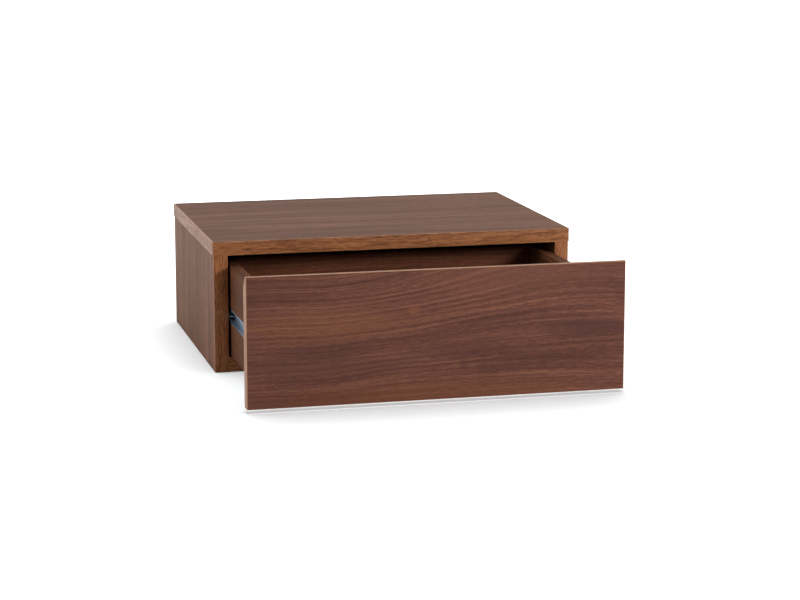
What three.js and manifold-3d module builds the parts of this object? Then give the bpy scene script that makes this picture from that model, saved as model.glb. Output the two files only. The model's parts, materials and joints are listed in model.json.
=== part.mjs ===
// A wall-hung nightstand: an open-fronted case of faced board with one drawer on ball bearing slides.
// Millimetres, +X to the right, +Y to the wall, +Z up. The origin is the centre of the face on the wall.
// The drawer stands open, as in use.
import * as THREE from "three";
import { mergeVertices } from "three/addons/utils/BufferGeometryUtils.js";
import Module from "manifold-3d";

// The case: outside sizes, without the drawer front.
const caseWidth = 420;
const caseDepth = 300;
const caseHeight = 150;
const boardThickness = 16;
const bandThickness = 0.8;
const bandArris = 0.4;
const bottomRecess = 0.6;

// The drawer front lies over the case's front edges. Behind its top edge is a bevel to pull it by.
const frontThickness = 16;
const frontSideReveal = 1.5;
const frontEndReveal = 4;
const frontGap = 2;
const gripTop = 5;
const gripDrop = 14;

// The drawer box.
const drawerBoard = 12;
const drawerSideGap = 3;
const drawerUnderGap = 1.4;
const drawerOverGap = 12;
const drawerBottomThickness = 5;
const drawerBottomRise = 19;
const housingDepth = 5;
const housingFit = 0.3;

// The slides: a narrow rail on the case, a wide channel in a groove of the drawer side, and a ball cage.
// The rear gap leaves a stock length of 246 mm for them.
const slideHeight = 17;
const slideRise = 46;
const slideGroove = 7;
const slideGrooveFit = 0.2;
const slideSetback = 2;
const slideRearGap = 36;
const channelSetback = 1;
const slideOverlap = 60;
const slideSheet = 0.85;
const slideBend = 1.1;
const slideSlotLength = 9;
const slideSlotRadius = 1.6;
const ballRadius = 1.4;
const ballFit = 0.25;
const cageLength = 58;
const cageSheet = 0.6;
const cageFit = 0.5;
const cageFlange = 1.7;
const cageBallInset = 2;
const cageWindowLength = 12;
const cageWindowRadius = 2.2;
const cageWindowInset = 5;
const stopFlange = 1.2;
const stopPlug = 12;
const stopSlot = 1;
const stopSlotDepth = 0.7;
const stopFit = 0.3;

// Fasteners.
const dowelRadius = 4;
const drawerDowelRadius = 3;
const dowelLength = 30;
const dowelChamfer = 1;
const dowelInset = 50;
const dowelFit = 0.3;
const dowelEndGap = 0.8;
const screwRadius = 1.75;
const screwHeadRadius = 3;
const screwHeadHeight = 1.6;
const screwHeadArris = 0.5;
const screwPoint = 2;
const screwInset = 35;
const screwFit = 0.3;
const screwCover = 0.7;
const railScrewLength = 13;
const bottomScrewLength = 18;
const bottomScrewInset = 110;
const wallHoleRadius = 2.5;
const wallHoleHeadRadius = 5;
const wallHoleSideInset = 40;
const wallHoleEndInset = 26;

// How far a cut runs past the face that it starts from.
const overrun = 1;

// Shares, counts and angles. The angles place a raceway about the centre of its balls, in degrees.
const faceDowelShare = 0.6;
const ballAcrossShare = 0.49;
const openShare = 0.99;
const drawerDowelShares = [0.25, 0.75];
const roundSides = 16;
const ballSides = 10;
const ballRings = 6;
const arrisSteps = 3;
const bendSteps = 4;
const raceSteps = 8;
const ballsInRow = 7;
const cageWindows = 3;
const channelLipAngle = 25;
const channelRootAngle = 145;
const railLipAngle = -35;
const railRootAngle = -145;

const looks = {
  topFace: { color: 0x82675a, roughness: 0.5, metalness: 0 },
  sideFace: { color: 0x7c6152, roughness: 0.5, metalness: 0 },
  innerFace: { color: 0x5a3d2c, roughness: 0.6, metalness: 0 },
  caseBand: { color: 0x8a5a38, roughness: 0.45, metalness: 0 },
  endBand: { color: 0xb2968a, roughness: 0.5, metalness: 0 },
  frontFace: { color: 0x694438, roughness: 0.45, metalness: 0 },
  frontBand: { color: 0xb9937f, roughness: 0.5, metalness: 0 },
  drawerBox: { color: 0x644e41, roughness: 0.6, metalness: 0 },
  zinc: { color: 0x8b949c, roughness: 0.35, metalness: 0.9 },
  cage: { color: 0x9aa1a6, roughness: 0.3, metalness: 0.9 },
  screwSteel: { color: 0xa5a9ab, roughness: 0.3, metalness: 0.95 },
  blackPlastic: { color: 0x17181a, roughness: 0.5, metalness: 0 },
  beech: { color: 0xc9a878, roughness: 0.75, metalness: 0 },
};

// Sizes that follow, with x from the middle and z from under the case's side boards.
const bodyHalfWidth = caseWidth / 2 - bandThickness;
const bayHalfWidth = bodyHalfWidth - boardThickness;
const bayFloor = bottomRecess + boardThickness;
const bayCeiling = caseHeight - boardThickness;
const backFront = caseDepth - boardThickness;
const frontHalfWidth = caseWidth / 2 - frontSideReveal;
const frontLow = frontEndReveal;
const frontHigh = caseHeight - frontEndReveal;
const gripDepth = frontThickness - gripTop;
const gripLength = Math.hypot(gripDepth, gripDrop);
const boxHalfWidth = bayHalfWidth - drawerSideGap;
const boxInnerHalfWidth = boxHalfWidth - drawerBoard;
const boxLow = bayFloor + drawerUnderGap;
const boxHigh = bayCeiling - drawerOverGap;
const slideLength = backFront - slideSetback - slideRearGap;
const boxDepth = slideLength + 2 * channelSetback;
const boxBackFront = boxDepth - drawerBoard;
const drawerFloorLow = boxLow + drawerBottomRise;
const drawerFloor = drawerFloorLow + drawerBottomThickness;
const housingHalfWidth = boxInnerHalfWidth + housingDepth;

// The slides' own sizes. Across is measured from the case side, and height from the slide's axis.
const slideAxis = boxLow + slideRise;
const slideDepth = drawerSideGap + slideGroove;
const grooveHalfHeight = slideHeight / 2 + slideGrooveFit;
const grooveFloor = boxHalfWidth - slideGroove;
const drawerOpening = openShare * (slideLength - slideOverlap);
const ballAcross = ballAcrossShare * slideDepth;
const ballHeight = slideHeight / 2 - slideSheet - ballFit - ballRadius;
const raceRadius = ballRadius + ballFit + slideSheet / 2;
const ballPitch = (cageLength - 2 * cageBallInset) / (ballsInRow - 1);
const windowRoom = cageLength - 2 * cageWindowInset - cageWindowLength;
const cageWindowPitch = windowRoom / (cageWindows - 1);
const screwPlaces = [screwInset, slideLength - screwInset];
const channelScrewLength = slideSheet + drawerBoard - slideGroove - screwCover;

// The case's z is 0 under its side boards and its y is 0 on its front edges.
// The drawer's z is the same and its y is 0 behind its front. The cages' y is 0 in their middle.
const caseOrigin = new THREE.Vector3(0, -caseDepth, -caseHeight / 2);
const drawerShift = -frontGap - drawerOpening;
const railMiddle = slideSetback + slideLength / 2;
const channelMiddle = drawerShift + channelSetback + slideLength / 2;
const cageShift = (railMiddle + channelMiddle) / 2;

const hands = [
  { name: "left", side: -1 },
  { name: "right", side: 1 },
];

const wasm = await Module();
wasm.setup();

const axes = {
  x: new THREE.Vector3(1, 0, 0),
  y: new THREE.Vector3(0, 1, 0),
  z: new THREE.Vector3(0, 0, 1),
};

// The two axes in which a section square to each axis is drawn.
const sectionAxes = { x: ["y", "z"], y: ["z", "x"], z: ["x", "y"] };

function at(x, y, z) {
  return new THREE.Vector3(x, y, z);
}

function solidOf(geometry) {
  const bare = geometry.clone();
  bare.deleteAttribute("normal");
  bare.deleteAttribute("uv");
  const merged = mergeVertices(bare);
  return new wasm.Manifold(
    new wasm.Mesh({
      numProp: 3,
      vertProperties: merged.getAttribute("position").array,
      triVerts: new Uint32Array(merged.index.array),
    }),
  );
}

function geometryOf(solid) {
  const mesh = solid.getMesh();
  const geometry = new THREE.BufferGeometry();
  geometry.setAttribute("position", new THREE.BufferAttribute(mesh.vertProperties, 3));
  geometry.setIndex(new THREE.BufferAttribute(mesh.triVerts, 1));
  geometry.computeVertexNormals();
  return geometry;
}

function cut(geometry, tools) {
  const whole = solidOf(geometry);
  return geometryOf(tools.reduce((rest, tool) => rest.subtract(solidOf(tool)), whole));
}

function join(geometries) {
  return geometryOf(geometries.map(solidOf).reduce((whole, piece) => whole.add(piece)));
}

// A block between two opposite corners.
function block(corner, opposite) {
  const low = corner.clone().min(opposite);
  const high = corner.clone().max(opposite);
  const geometry = new THREE.BoxGeometry();
  const places = geometry.getAttribute("position");
  for (let i = 0; i < places.count; i += 1) {
    places.setXYZ(
      i,
      places.getX(i) < 0 ? low.x : high.x,
      places.getY(i) < 0 ? low.y : high.y,
      places.getZ(i) < 0 ? low.z : high.z,
    );
  }
  return geometry;
}

// An outline in the section axes of one axis, extruded along that axis.
function prism(axis, outline, from, to) {
  const [across, up] = sectionAxes[axis];
  const turn = new THREE.Matrix4().makeBasis(axes[across], axes[up], axes[axis]);
  const geometry = new THREE.ExtrudeGeometry(new THREE.Shape(outline), {
    depth: to - from,
    bevelEnabled: false,
  });
  return geometry.translate(0, 0, from).applyMatrix4(turn);
}

// Points along an arc, with the angles in degrees.
function arc(centreX, centreY, radius, from, to, steps) {
  return Array.from({ length: steps + 1 }, (_, i) => {
    const angle = THREE.MathUtils.degToRad(from + ((to - from) * i) / steps);
    return new THREE.Vector2(
      centreX + radius * Math.cos(angle),
      centreY + radius * Math.sin(angle),
    );
  });
}

// A bore with round ends along an axis. Its section is drawn out by a length in one section axis.
function slot(axis, centre, radius, from, to, longAxis, length) {
  const [across, up] = sectionAxes[axis];
  const alongAcross = longAxis === across ? length / 2 : 0;
  const alongUp = longAxis === up ? length / 2 : 0;
  const start = longAxis === up ? 0 : -90;
  const x = centre[across];
  const y = centre[up];
  const half = roundSides / 2;
  const outline = [
    ...arc(x + alongAcross, y + alongUp, radius, start, start + 180, half),
    ...arc(x - alongAcross, y - alongUp, radius, start + 180, start + 360, half),
  ];
  return prism(axis, outline, Math.min(from, to), Math.max(from, to));
}

function bore(axis, centre, radius, from, to) {
  const [across, up] = sectionAxes[axis];
  const ring = arc(centre[across], centre[up], radius, 0, 360, roundSides);
  ring.pop();
  return prism(axis, ring, Math.min(from, to), Math.max(from, to));
}

// A profile of [radius, height] pairs, from axis to axis and upwards, turned about +Z.
function turned(profile) {
  const points = profile.map(([radius, height]) => new THREE.Vector2(radius, height));
  return new THREE.LatheGeometry(points, roundSides).rotateX(Math.PI / 2);
}

// The closed outline of sheet metal that is bent along a path.
function sheetOutline(path, thickness) {
  const near = [];
  const far = [];
  const last = path.length - 1;
  const step = (i) => path[i + 1].clone().sub(path[i]).normalize();
  path.forEach((place, i) => {
    const leaving = step(Math.min(i, last - 1));
    const along = step(Math.max(i - 1, 0)).add(leaving).normalize();
    const reach = thickness / 2 / along.dot(leaving);
    const normal = new THREE.Vector2(-along.y, along.x).multiplyScalar(reach);
    near.push(place.clone().add(normal));
    far.unshift(place.clone().sub(normal));
  });
  return [...near, ...far];
}

// A path above the middle, continued by its mirror image below.
function mirrored(path) {
  return [...path, ...path.map((place) => new THREE.Vector2(place.x, -place.y)).reverse()];
}

// A strip of edge banding between two corners, with its two outer arrises rounded over.
// It runs along one axis, and faces outwards along another in the given sense.
function strip(run, outward, sense, corner, opposite) {
  const low = corner.clone().min(opposite);
  const high = corner.clone().max(opposite);
  const [across, up] = sectionAxes[run];
  const outline = [];
  const corners = [
    [low, low],
    [high, low],
    [high, high],
    [low, high],
  ];
  corners.forEach(([a, b], turn) => {
    const end = outward === across ? a : b;
    if ((end === high) !== sense > 0) {
      outline.push(new THREE.Vector2(a[across], b[up]));
      return;
    }
    const centreX = a[across] + (a === low ? bandArris : -bandArris);
    const centreY = b[up] + (b === low ? bandArris : -bandArris);
    const start = 180 + 90 * turn;
    outline.push(...arc(centreX, centreY, bandArris, start, start + 90, arrisSteps));
  });
  return prism(run, outline, low[run], high[run]);
}

function addMesh(group, name, geometry, look) {
  const mesh = new THREE.Mesh(geometry, new THREE.MeshStandardMaterial(look));
  mesh.name = name;
  group.add(mesh);
  return mesh;
}

// A piece that is made along +Z, turned to point along an axis and put on its seat.
function addTurned(group, name, geometry, look, axis, sense, seat) {
  const mesh = addMesh(group, name, geometry, look);
  mesh.quaternion.setFromUnitVectors(axes.z, axes[axis].clone().multiplyScalar(sense));
  mesh.position.copy(seat);
}

// A dowel lies along an axis through a centre, from one depth to another.
function dowel(name, axis, centre, radius, from, to) {
  return { name, axis, centre, radius, from: Math.min(from, to), to: Math.max(from, to) };
}

function dowelBore({ axis, centre, radius, from, to }) {
  return bore(axis, centre, radius + dowelFit, from - dowelEndGap, to + dowelEndGap);
}

function addDowel(group, { name, axis, centre, radius, from, to }) {
  const neck = radius - dowelChamfer;
  const length = to - from;
  const geometry = turned([
    [0, 0],
    [neck, 0],
    [radius, dowelChamfer],
    [radius, length - dowelChamfer],
    [neck, length],
    [0, length],
  ]);
  const seat = centre.clone();
  seat[axis] = from;
  addTurned(group, name, geometry, looks.beech, axis, 1, seat);
}

// A screw along +Z whose pan head stands on the plane at 0.
function panScrew() {
  return turned([
    [0, -railScrewLength],
    [screwRadius, screwPoint - railScrewLength],
    [screwRadius, 0],
    [screwHeadRadius, 0],
    [screwHeadRadius, screwHeadHeight - screwHeadArris],
    [screwHeadRadius - screwHeadArris, screwHeadHeight],
    [0, screwHeadHeight],
  ]);
}

// A screw along +Z whose countersunk head ends on the plane at 0.
function flatScrew(length) {
  return turned([
    [0, -length],
    [screwRadius, screwHeadHeight - length],
    [screwRadius, -screwHeadHeight],
    [screwHeadRadius, 0],
    [0, 0],
  ]);
}

// The bore that such a screw sits in.
function flatScrewBore(length) {
  const radius = screwRadius + screwFit;
  return turned([
    [0, -length - screwFit],
    [radius, -length - screwFit],
    [radius, -screwHeadHeight],
    [screwHeadRadius + screwFit, 0],
    [screwHeadRadius + screwFit, overrun],
    [0, overrun],
  ]);
}

// Section of the rail: x is the way out of the case side, and y is up.
function railSection() {
  const shoulder = ballHeight + raceRadius * Math.sin(THREE.MathUtils.degToRad(railRootAngle));
  const bendX = slideSheet / 2 + slideBend;
  const upper = [
    ...arc(ballAcross, ballHeight, raceRadius, railLipAngle, railRootAngle, raceSteps),
    ...arc(bendX, shoulder - slideBend, slideBend, 90, 180, bendSteps),
  ];
  return sheetOutline(mirrored(upper), slideSheet);
}

// Section of the channel: x is the way out of the groove, and y is up.
function channelSection() {
  const ballX = slideDepth - ballAcross;
  const shoulder = ballHeight + raceRadius * Math.sin(THREE.MathUtils.degToRad(channelRootAngle));
  const bendX = slideSheet / 2 + slideBend;
  const upper = [
    ...arc(ballX, ballHeight, raceRadius, channelLipAngle, channelRootAngle, raceSteps),
    ...arc(bendX, shoulder - slideBend, slideBend, 90, 180, bendSteps),
  ];
  return sheetOutline(mirrored(upper), slideSheet);
}

// Section of the ball cage, drawn out of the case side as the rail's is.
function cageSection() {
  const bendX = cageWebAcross() - slideBend;
  const upper = [
    new THREE.Vector2(ballAcross - cageFlange, ballHeight),
    ...arc(bendX, ballHeight - slideBend, slideBend, 90, 0, bendSteps),
  ];
  return sheetOutline(mirrored(upper), cageSheet);
}

function cageWebAcross() {
  return slideDepth - slideSheet - cageFit - cageSheet / 2;
}

// A slide's section, with its x taken the way that it faces, as a length along Y.
function slidePrism(section, facing, from, to) {
  const outline = section.map((place) => new THREE.Vector2(place.y, facing * place.x));
  return prism("y", outline, from, to);
}

// A slot in the middle of a rail's or channel's length, to set it by before the screws go in.
function slideSlot() {
  const reach = slideSheet + overrun;
  const middle = at(0, slideLength / 2, 0);
  return slot("x", middle, slideSlotRadius, -reach, reach, "y", slideSlotLength);
}

function addRail(group, { name, side }) {
  const reach = slideSheet + overrun;
  const bores = screwPlaces.map((y) =>
    bore("x", at(0, y, 0), screwRadius + screwFit, -reach, reach),
  );
  const sheet = slidePrism(railSection(), -side, 0, slideLength);
  const rail = addMesh(group, `${name}_cabinet_rail`, cut(sheet, [...bores, slideSlot()]), looks.zinc);
  rail.position.set(side * bayHalfWidth, slideSetback, slideAxis);

  screwPlaces.forEach((y, i) => {
    const seat = at(side * (bayHalfWidth - slideSheet), slideSetback + y, slideAxis);
    addTurned(group, `${name}_rail_screw_${i + 1}`, panScrew(), looks.screwSteel, "x", -side, seat);
  });
}

// The plastic stop in the rail's front end: a slotted cap with a plug that sits in the rail.
function addRailStop(group, { name, side }) {
  const lipReach = raceRadius + slideSheet / 2;
  const outer = ballAcross + lipReach * Math.cos(THREE.MathUtils.degToRad(railLipAngle));
  const rootRise = raceRadius * Math.sin(THREE.MathUtils.degToRad(railRootAngle));
  const halfHeight = ballHeight + rootRise + slideSheet / 2;
  const throat = ballHeight - lipReach - stopFit;
  const cap = block(
    at(-side * stopFit, -stopFlange, -halfHeight),
    at(-side * outer, 0, halfHeight),
  );
  const plug = block(
    at(-side * (slideSheet + stopFit), -stopFlange, -throat),
    at(-side * (outer - stopFit), stopPlug, throat),
  );
  const groove = block(
    at(overrun * side, -stopFlange - overrun, -stopSlot / 2),
    at(-side * (outer + overrun), stopSlotDepth - stopFlange, stopSlot / 2),
  );
  const geometry = cut(join([cap, plug]), [groove]);
  const stop = addMesh(group, `${name}_rail_stop`, geometry, looks.blackPlastic);
  stop.position.set(side * bayHalfWidth, slideSetback, slideAxis);
}

// A cage with its balls, which ride in its flanges.
function addCage(group, { name, side }) {
  const webX = -side * cageWebAcross();
  const reach = cageSheet + overrun;
  const windows = Array.from({ length: cageWindows }, (_, i) => {
    const middle = at(0, (i - (cageWindows - 1) / 2) * cageWindowPitch, 0);
    const run = cageWindowLength - 2 * cageWindowRadius;
    return slot("x", middle, cageWindowRadius, webX - reach, webX + reach, "y", run);
  });
  const strap = slidePrism(cageSection(), -side, -cageLength / 2, cageLength / 2);
  const balls = [];
  for (let i = 0; i < ballsInRow; i += 1) {
    const y = (i - (ballsInRow - 1) / 2) * ballPitch;
    for (const height of [-ballHeight, ballHeight]) {
      const ball = new THREE.SphereGeometry(ballRadius, ballSides, ballRings);
      balls.push(ball.translate(-side * ballAcross, y, height));
    }
  }
  const cage = addMesh(group, `${name}_ball_cage`, join([cut(strap, windows), ...balls]), looks.cage);
  cage.position.set(side * bayHalfWidth, 0, slideAxis);
}

function addChannel(group, { name, side }) {
  const sheet = slidePrism(channelSection(), side, 0, slideLength);
  const bores = screwPlaces.map((y) =>
    channelScrewBore(side).translate(side * slideSheet, y, 0),
  );
  const geometry = cut(sheet, [...bores, slideSlot()]);
  const channel = addMesh(group, `${name}_drawer_channel`, geometry, looks.zinc);
  channel.position.set(side * grooveFloor, channelSetback, slideAxis);

  screwPlaces.forEach((y, i) => {
    const seat = at(side * (grooveFloor + slideSheet), channelSetback + y, slideAxis);
    const screw = flatScrew(channelScrewLength);
    addTurned(group, `${name}_channel_screw_${i + 1}`, screw, looks.screwSteel, "x", side, seat);
  });
}

function channelScrewBore(side) {
  return flatScrewBore(channelScrewLength).rotateY((side * Math.PI) / 2);
}

// The case's dowels on one side: into the top board, the bottom board and the back board.
function caseDowels({ name, side }) {
  const boardX = side * (bodyHalfWidth - boardThickness / 2);
  const faceDepth = faceDowelShare * boardThickness;
  const outerX = side * (bayHalfWidth + faceDepth);
  const innerX = outerX - side * dowelLength;
  const highZ = bayCeiling + faceDepth;
  const lowZ = highZ - dowelLength;
  const runs = [dowelInset, backFront - dowelInset];
  const middleZ = (bayFloor + bayCeiling) / 2;
  const backHeights = [(bayFloor + middleZ) / 2, (bayCeiling + middleZ) / 2];
  const flat = (kind, i, centre) =>
    dowel(`${name}_${kind}_dowel_${i + 1}`, "x", centre, dowelRadius, innerX, outerX);
  return {
    top: runs.map((y, i) =>
      dowel(`${name}_top_dowel_${i + 1}`, "z", at(boardX, y, 0), dowelRadius, lowZ, highZ),
    ),
    bottom: runs.map((y, i) => flat("bottom", i, at(0, y, bayFloor - boardThickness / 2))),
    back: backHeights.map((z, i) => flat("back", i, at(0, caseDepth - boardThickness / 2, z))),
  };
}

function railScrewBore(side, y) {
  const centre = at(0, slideSetback + y, slideAxis);
  const from = side * (bayHalfWidth - overrun);
  const to = side * (bayHalfWidth - slideSheet + railScrewLength + screwFit);
  return bore("x", centre, screwRadius + screwFit, from, to);
}

// The back board stands between the sides, with countersunk holes for the screws into the wall.
function addBackPanel(group, bores) {
  const slope = wallHoleHeadRadius - wallHoleRadius;
  const hole = turned([
    [0, -boardThickness - overrun],
    [wallHoleRadius, -boardThickness - overrun],
    [wallHoleRadius, -slope],
    [wallHoleHeadRadius, 0],
    [wallHoleHeadRadius, overrun],
    [0, overrun],
  ]).rotateX(Math.PI / 2);
  const holes = [];
  for (const x of [wallHoleSideInset - bayHalfWidth, bayHalfWidth - wallHoleSideInset]) {
    for (const z of [bayFloor + wallHoleEndInset, bayCeiling - wallHoleEndInset]) {
      holes.push(hole.clone().translate(x, backFront, z));
    }
  }
  const board = block(
    at(-bayHalfWidth, backFront, bayFloor),
    at(bayHalfWidth, caseDepth, bayCeiling),
  );
  addMesh(group, "back_panel", cut(board, [...bores, ...holes]), looks.innerFace);
}

function addSidePanel(group, { name, side }, pins) {
  const board = block(
    at(side * bodyHalfWidth, bandThickness, 0),
    at(side * bayHalfWidth, caseDepth, bayCeiling),
  );
  const bores = [...pins.map(dowelBore), ...screwPlaces.map((y) => railScrewBore(side, y))];
  addMesh(group, `${name}_side_panel`, cut(board, bores), looks.sideFace);
}

function addCaseBands(group) {
  const topFront = strip(
    "x",
    "y",
    -1,
    at(-caseWidth / 2, 0, bayCeiling),
    at(caseWidth / 2, bandThickness, caseHeight),
  );
  addMesh(group, "top_front_band", topFront, looks.caseBand);
  const bottomFront = strip(
    "x",
    "y",
    -1,
    at(-bayHalfWidth, 0, bottomRecess),
    at(bayHalfWidth, bandThickness, bayFloor),
  );
  addMesh(group, "bottom_front_band", bottomFront, looks.caseBand);
  for (const { name, side } of hands) {
    const topEnd = strip(
      "y",
      "x",
      side,
      at(side * bodyHalfWidth, bandThickness, bayCeiling),
      at((side * caseWidth) / 2, caseDepth, caseHeight),
    );
    addMesh(group, `top_${name}_band`, topEnd, looks.endBand);
    const sideFront = strip(
      "z",
      "y",
      -1,
      at(side * bodyHalfWidth, 0, 0),
      at(side * bayHalfWidth, bandThickness, bayCeiling),
    );
    addMesh(group, `${name}_side_front_band`, sideFront, looks.caseBand);
  }
}

function makeCase() {
  const group = new THREE.Group();
  const dowels = hands.map(caseDowels);
  const bores = (kind) => dowels.flatMap((pins) => pins[kind]).map(dowelBore);
  const top = block(
    at(-bodyHalfWidth, bandThickness, bayCeiling),
    at(bodyHalfWidth, caseDepth, caseHeight),
  );
  addMesh(group, "top_panel", cut(top, bores("top")), looks.topFace);
  const bottom = block(
    at(-bayHalfWidth, bandThickness, bottomRecess),
    at(bayHalfWidth, caseDepth, bayFloor),
  );
  addMesh(group, "bottom_panel", cut(bottom, bores("bottom")), looks.innerFace);
  addBackPanel(group, bores("back"));
  hands.forEach((hand, i) => {
    const pins = Object.values(dowels[i]).flat();
    addSidePanel(group, hand, pins);
    pins.forEach((pin) => addDowel(group, pin));
    addRail(group, hand);
    addRailStop(group, hand);
  });
  addCaseBands(group);
  group.position.copy(caseOrigin);
  return group;
}

// The drawer's dowels on one side: into the front, and into the back.
function drawerDowels({ name, side }) {
  const boardX = side * (boxHalfWidth - drawerBoard / 2);
  const frontY = -faceDowelShare * frontThickness;
  const outerX = side * (boxInnerHalfWidth + faceDowelShare * drawerBoard);
  const grooveTop = slideAxis + grooveHalfHeight;
  const frontHeights = [(boxLow + drawerFloorLow) / 2, (grooveTop + boxHigh) / 2];
  return {
    front: frontHeights.map((z, i) =>
      dowel(
        `${name}_drawer_front_dowel_${i + 1}`,
        "y",
        at(boardX, 0, z),
        drawerDowelRadius,
        frontY,
        frontY + dowelLength,
      ),
    ),
    back: drawerDowelShares.map((share, i) =>
      dowel(
        `${name}_drawer_back_dowel_${i + 1}`,
        "x",
        at(0, boxDepth - drawerBoard / 2, grooveTop + share * (boxHigh - grooveTop)),
        drawerDowelRadius,
        outerX,
        outerX - side * dowelLength,
      ),
    ),
  };
}

// The grip's bevel, set in from its face by a depth: its place at a height, and its height at a place.
function gripY(z, inset) {
  return ((frontHigh - z) * gripDepth - inset * gripLength) / gripDrop - gripDepth;
}

function gripZ(y, inset) {
  return frontHigh - ((y + gripDepth) * gripDrop + inset * gripLength) / gripDepth;
}

function addDrawerFront(group, bores) {
  const halfWidth = frontHalfWidth - bandThickness;
  const low = frontLow + bandThickness;
  const high = frontHigh - bandThickness;
  const gripFoot = new THREE.Vector2(0, gripZ(0, bandThickness));
  const gripHead = new THREE.Vector2(gripY(high, bandThickness), high);
  const bodyOutline = [
    new THREE.Vector2(-frontThickness, low),
    new THREE.Vector2(0, low),
    gripFoot,
    gripHead,
    new THREE.Vector2(-frontThickness, high),
  ];
  const body = prism("x", bodyOutline, -halfWidth, halfWidth);
  const housing = block(
    at(-housingHalfWidth, -housingDepth, drawerFloorLow),
    at(housingHalfWidth, overrun, drawerFloor + housingFit),
  );
  addMesh(group, "drawer_front", cut(body, [housing, ...bores]), looks.frontFace);

  const gripOutline = [
    gripFoot,
    new THREE.Vector2(0, gripZ(0, 0)),
    new THREE.Vector2(gripY(high, 0), high),
    gripHead,
  ];
  const gripBand = prism("x", gripOutline, -halfWidth, halfWidth);
  addMesh(group, "drawer_front_grip_band", gripBand, looks.frontBand);

  const above = frontHigh + overrun;
  const wedgeOutline = [
    new THREE.Vector2(gripY(above, 0), above),
    new THREE.Vector2(overrun, gripZ(overrun, 0)),
    new THREE.Vector2(overrun, above),
  ];
  const wedge = prism("x", wedgeOutline, -frontHalfWidth - overrun, frontHalfWidth + overrun);
  const ends = [
    { name: "bottom", sense: -1, outer: frontLow, inner: low },
    { name: "top", sense: 1, outer: frontHigh, inner: high },
  ];
  for (const { name, sense, outer, inner } of ends) {
    const corner = at(-frontHalfWidth, -frontThickness, outer);
    const band = strip("x", "z", sense, corner, at(frontHalfWidth, 0, inner));
    addMesh(group, `drawer_front_${name}_band`, cut(band, [wedge]), looks.frontBand);
  }
  for (const { name, side } of hands) {
    const corner = at(side * frontHalfWidth, -frontThickness, low);
    const band = strip("z", "x", side, corner, at(side * halfWidth, 0, high));
    addMesh(group, `drawer_front_${name}_band`, cut(band, [wedge]), looks.frontBand);
  }
}

// A drawer side has the slide's groove outside and the bottom's housing inside.
function addDrawerSide(group, { name, side }, pins) {
  const board = block(
    at(side * boxHalfWidth, 0, boxLow),
    at(side * boxInnerHalfWidth, boxDepth, boxHigh),
  );
  const groove = block(
    at(side * grooveFloor, -overrun, slideAxis - grooveHalfHeight),
    at(side * (boxHalfWidth + overrun), boxDepth + overrun, slideAxis + grooveHalfHeight),
  );
  const housing = block(
    at(side * (boxInnerHalfWidth - overrun), -overrun, drawerFloorLow),
    at(side * housingHalfWidth, boxDepth + overrun, drawerFloor + housingFit),
  );
  const screwBores = screwPlaces.map((y) =>
    channelScrewBore(side).translate(
      side * (grooveFloor + slideSheet),
      channelSetback + y,
      slideAxis,
    ),
  );
  const tools = [groove, housing, ...screwBores, ...pins.map(dowelBore)];
  addMesh(group, `drawer_${name}_side`, cut(board, tools), looks.drawerBox);
}

// The bottom slides in from the rear under the back, and two screws hold it to the back.
function addDrawerBottom(group, screwBores) {
  const halfWidth = housingHalfWidth - housingFit;
  const board = block(
    at(-halfWidth, housingFit - housingDepth, drawerFloorLow),
    at(halfWidth, boxDepth, drawerFloor),
  );
  addMesh(group, "drawer_bottom", cut(board, screwBores), looks.drawerBox);
}

function addDrawerBack(group, bores) {
  const board = block(
    at(-boxInnerHalfWidth, boxBackFront, drawerFloor),
    at(boxInnerHalfWidth, boxDepth, boxHigh),
  );
  addMesh(group, "drawer_back", cut(board, bores), looks.drawerBox);
}

function makeDrawer() {
  const group = new THREE.Group();
  const dowels = hands.map(drawerDowels);
  const bores = (kind) => dowels.flatMap((pins) => pins[kind]).map(dowelBore);
  const screwSeats = hands.map(({ side }) =>
    at(side * bottomScrewInset, boxDepth - drawerBoard / 2, drawerFloorLow),
  );
  const screwBores = screwSeats.map((seat) =>
    flatScrewBore(bottomScrewLength).rotateX(Math.PI).translate(seat.x, seat.y, seat.z),
  );
  addDrawerFront(group, bores("front"));
  addDrawerBack(group, [...bores("back"), ...screwBores]);
  addDrawerBottom(group, screwBores);
  screwSeats.forEach((seat, i) => {
    const screw = flatScrew(bottomScrewLength);
    addTurned(group, `drawer_bottom_screw_${i + 1}`, screw, looks.screwSteel, "z", -1, seat);
  });
  hands.forEach((hand, i) => {
    const pins = Object.values(dowels[i]).flat();
    addDrawerSide(group, hand, pins);
    pins.forEach((pin) => addDowel(group, pin));
    addChannel(group, hand);
  });
  group.position.copy(caseOrigin);
  group.position.y += drawerShift;
  return group;
}

function makeCages() {
  const group = new THREE.Group();
  hands.forEach((hand) => addCage(group, hand));
  group.position.copy(caseOrigin);
  group.position.y += cageShift;
  return group;
}

const nightstand = new THREE.Group();
nightstand.add(makeCase(), makeCages(), makeDrawer());

export default nightstand;
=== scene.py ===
"""The looks of a wall-hung nightstand: walnut-faced boards, edge banding, foil-wrapped drawer, zinc slides.

Metres in the part's own frame: +X to the right, +Y to the wall, +Z up, the origin at the centre of the
face on the wall. Materials work in millimetres. Colours are written as 8-bit sRGB.
"""

import functools
import json
import math
from collections import namedtuple

import bmesh
import bpy
from mathutils import Matrix, Vector

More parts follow.
